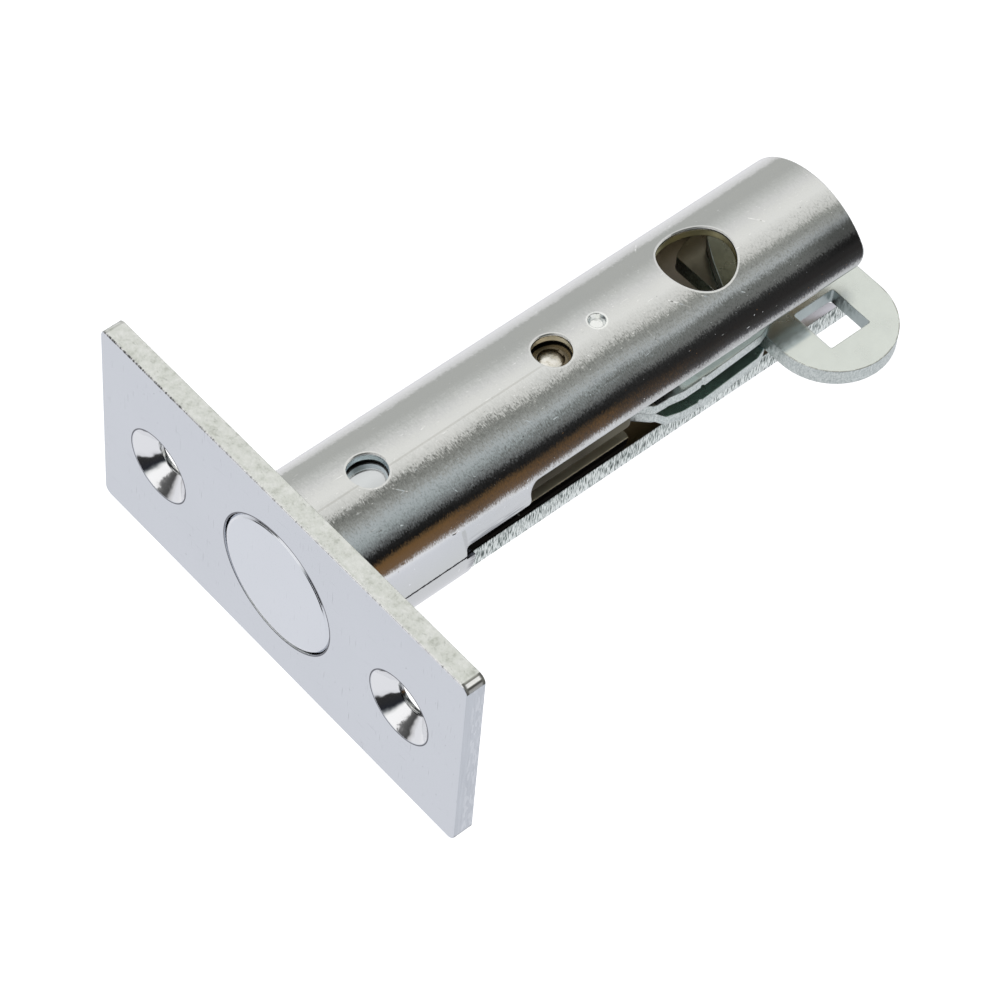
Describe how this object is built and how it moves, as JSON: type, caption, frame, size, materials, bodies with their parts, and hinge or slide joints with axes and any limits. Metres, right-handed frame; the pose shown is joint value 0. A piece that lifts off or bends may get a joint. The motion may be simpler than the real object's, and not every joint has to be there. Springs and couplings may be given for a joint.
{
  "type": "door bolt",
  "caption": "Tubular door bolt with a flat faceplate, a round sliding bolt in a slotted tube, and a turning crank that throws it through a link.",
  "frame": {"origin": "on the bolt's axis, at the front of the faceplate", "axes": "+X is the way the bolt is thrown, +Z runs along the faceplate towards the crank's lobe, the tube's assembly holes face -Y"},
  "size_m": [0.0773, 0.028, 0.0584],
  "materials": {
    "polished_plate": "polished, faint scratches",
    "plated_tube": "plated, fine rings of brushing, light wear",
    "bolt_chrome": "polished",
    "pin_steel": "peened steel",
    "zinc_steel": "zinc plated stamping with sheared edges"
  },
  "bodies": {
    "case": {"faceplate": "polished_plate", "tube_case": "plated_tube"},
    "bolt": {"bolt": "bolt_chrome", "bolt_pin": "pin_steel"},
    "link": {"link_plate_left": "zinc_steel", "link_plate_right": "zinc_steel", "link_rivet": "pin_steel"},
    "crank": {"hub_crank": "zinc_steel"}
  },
  "joints": [
    {"name": "bolt_slide", "type": "slide", "parent": "case", "child": "bolt", "axis": [1, 0, 0], "range_m": [0, 0.01424]},
    {"name": "link_swing", "type": "hinge", "parent": "bolt", "child": "link", "pos_m": [-0.0375, 0, 0], "axis": [0, 1, 0], "range_deg": [0, 28.2]},
    {"name": "hub_turn", "type": "hinge", "parent": "case", "child": "crank", "pos_m": [-0.0698, 0, 0.011], "axis": [0, -1, 0], "range_deg": [0, 90]}
  ],
  "couplings": [
    {"joint": "link_swing", "follows": "bolt_slide", "rad_per_m": 34.473},
    {"joint": "hub_turn", "follows": "bolt_slide", "rad_per_m": 110.26}
  ]
}
